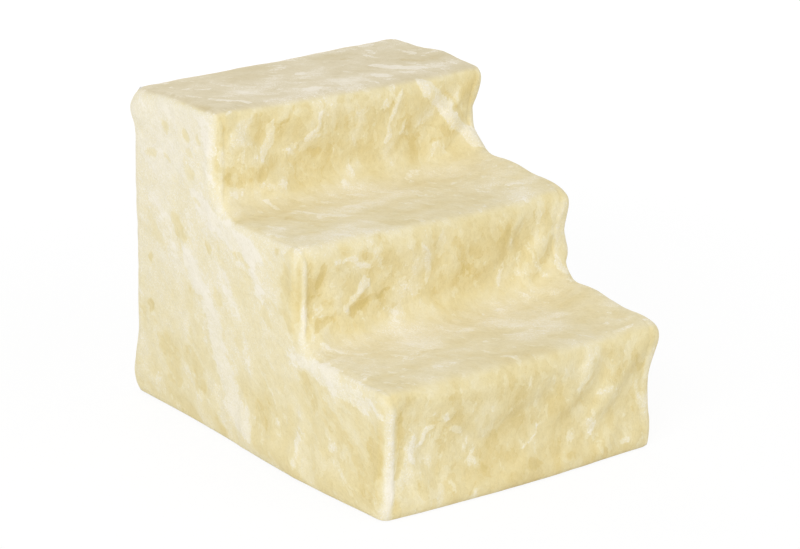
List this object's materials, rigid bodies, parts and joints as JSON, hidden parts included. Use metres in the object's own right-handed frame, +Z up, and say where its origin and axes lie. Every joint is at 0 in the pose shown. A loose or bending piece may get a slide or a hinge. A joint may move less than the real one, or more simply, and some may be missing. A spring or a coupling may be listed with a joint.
{
  "type": "pet stairs",
  "caption": "Low indoor stairs for a small dog or cat: a snap-together moulded frame under a fitted lift-off plush cover.",
  "frame": {"origin": "on the floor, under the middle of the stairs' bounding box", "axes": "+X to the right for someone facing the low front step, +Y towards the tall back end, +Z up"},
  "size_m": [0.35, 0.45, 0.348],
  "materials": {
    "plush": "crushed cream plush, short pile brushed in streaks",
    "frame_plastic": "off-white moulded polypropylene, fine spark texture",
    "clip_plastic": "grey moulded polypropylene",
    "foot_rubber": "dark matt rubber"
  },
  "bodies": {
    "frame": {"left_side_low_front": "frame_plastic", "left_side_low_centre": "frame_plastic", "left_side_low_back": "frame_plastic", "left_side_middle_centre": "frame_plastic", "left_side_middle_back": "frame_plastic", "left_side_top_back": "frame_plastic", "right_side_low_front": "frame_plastic", "right_side_low_centre": "frame_plastic", "right_side_low_back": "frame_plastic", "right_side_middle_centre": "frame_plastic", "right_side_middle_back": "frame_plastic", "right_side_top_back": "frame_plastic", "riser_panel_low": "frame_plastic", "riser_panel_middle": "frame_plastic", "riser_panel_top": "frame_plastic", "back_panel_low": "frame_plastic", "back_panel_middle": "frame_plastic", "back_panel_top": "frame_plastic", "tread_deck_low": "frame_plastic", "tread_deck_middle": "frame_plastic", "tread_deck_top": "frame_plastic", "base_rail_left": "frame_plastic", "base_rail_right": "frame_plastic", "cross_rail_front": "frame_plastic", "cross_rail_middle": "frame_plastic", "cross_rail_back": "frame_plastic", "joining_clips": "clip_plastic", "rubber_feet": "foot_rubber"},
    "cover": {"cover_steps": "plush", "cover_left_side": "plush", "cover_right_side": "plush", "cover_back": "plush"}
  },
  "joints": [
    {"name": "cover_lift", "type": "slide", "parent": "frame", "child": "cover", "axis": [0, 0, 1], "range_m": [0, 0.36]}
  ]
}
